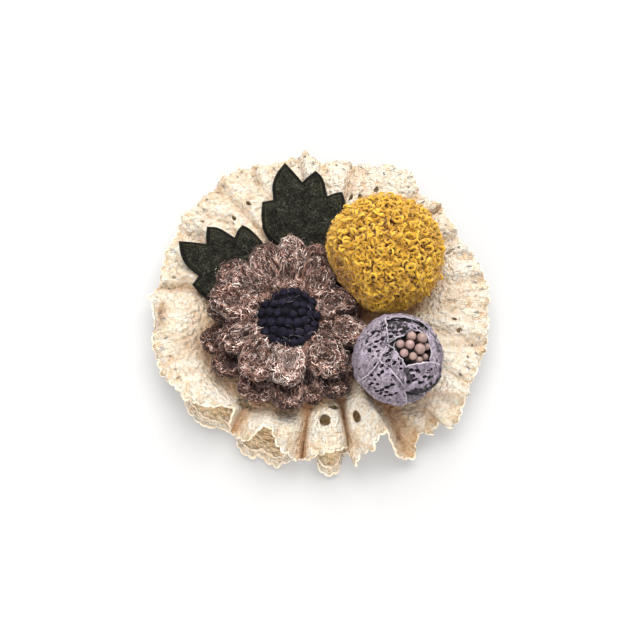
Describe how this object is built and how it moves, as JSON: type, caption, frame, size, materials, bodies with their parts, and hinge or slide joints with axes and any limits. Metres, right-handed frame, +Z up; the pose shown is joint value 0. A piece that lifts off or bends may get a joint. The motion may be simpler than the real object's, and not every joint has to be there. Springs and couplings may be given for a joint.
{
  "type": "flower lapel pin",
  "caption": "Fabric brooch: two gathered lace tiers carrying felt leaves, a yarn flower, a looped pompom and a lace-wrapped bud with beads, on a felt back with a bar pin.",
  "frame": {"origin": "centre of the box's underside, on the surface that the brooch lies on", "axes": "+Z up out of the front of the brooch; +X to the right and +Y to the back as it lies in the picture"},
  "size_m": [0.0978, 0.1, 0.0381],
  "materials": {
    "pin_metal": "satin metal",
    "backing_felt": "pressed cream felt",
    "lace": "cream cotton lace, matte",
    "leaf_felt": "dark green-black wool felt with light fibres",
    "flower_yarn": "fuzzy brown and beige tweed yarn",
    "pad_yarn": "navy twisted yarn knots",
    "pompom_yarn": "mustard looped yarn",
    "bud_filling": "dark grey filling under the wraps",
    "bud_lace": "grey-lavender cotton lace",
    "stamen_bead": "taupe pink, slightly glossy"
  },
  "bodies": {
    "root": {"brooch_pin": "pin_metal", "backing_felt": "backing_felt", "lace_lower": "lace", "lace_upper": "lace", "leaf_left": "leaf_felt", "leaf_top": "leaf_felt", "petal_lower_1": "flower_yarn", "petal_lower_2": "flower_yarn", "petal_lower_3": "flower_yarn", "petal_lower_4": "flower_yarn", "petal_lower_5": "flower_yarn", "petal_lower_6": "flower_yarn", "petal_lower_7": "flower_yarn", "petal_lower_8": "flower_yarn", "petal_lower_9": "flower_yarn", "petal_lower_10": "flower_yarn", "petal_lower_11": "flower_yarn", "petal_lower_12": "flower_yarn", "petal_lower_13": "flower_yarn", "petal_lower_14": "flower_yarn", "petal_upper_1": "flower_yarn", "petal_upper_2": "flower_yarn", "petal_upper_3": "flower_yarn", "petal_upper_4": "flower_yarn", "petal_upper_5": "flower_yarn", "petal_upper_6": "flower_yarn", "petal_upper_7": "flower_yarn", "petal_upper_8": "flower_yarn", "petal_upper_9": "flower_yarn", "petal_upper_10": "flower_yarn", "petal_upper_11": "flower_yarn", "flower_centre": "pad_yarn", "pompom": "pompom_yarn", "bud_core": "bud_filling", "bud_wrap_1": "bud_lace", "bud_wrap_2": "bud_lace", "bud_wrap_3": "bud_lace", "bud_wrap_4": "bud_lace", "bud_wrap_5": "bud_lace", "bud_wrap_6": "bud_lace", "stamen_1": "stamen_bead", "stamen_2": "stamen_bead", "stamen_3": "stamen_bead", "stamen_4": "stamen_bead", "stamen_5": "stamen_bead", "stamen_6": "stamen_bead", "stamen_7": "stamen_bead", "stamen_8": "stamen_bead", "stamen_9": "stamen_bead", "stamen_10": "stamen_bead"}
  },
  "joints": []
}
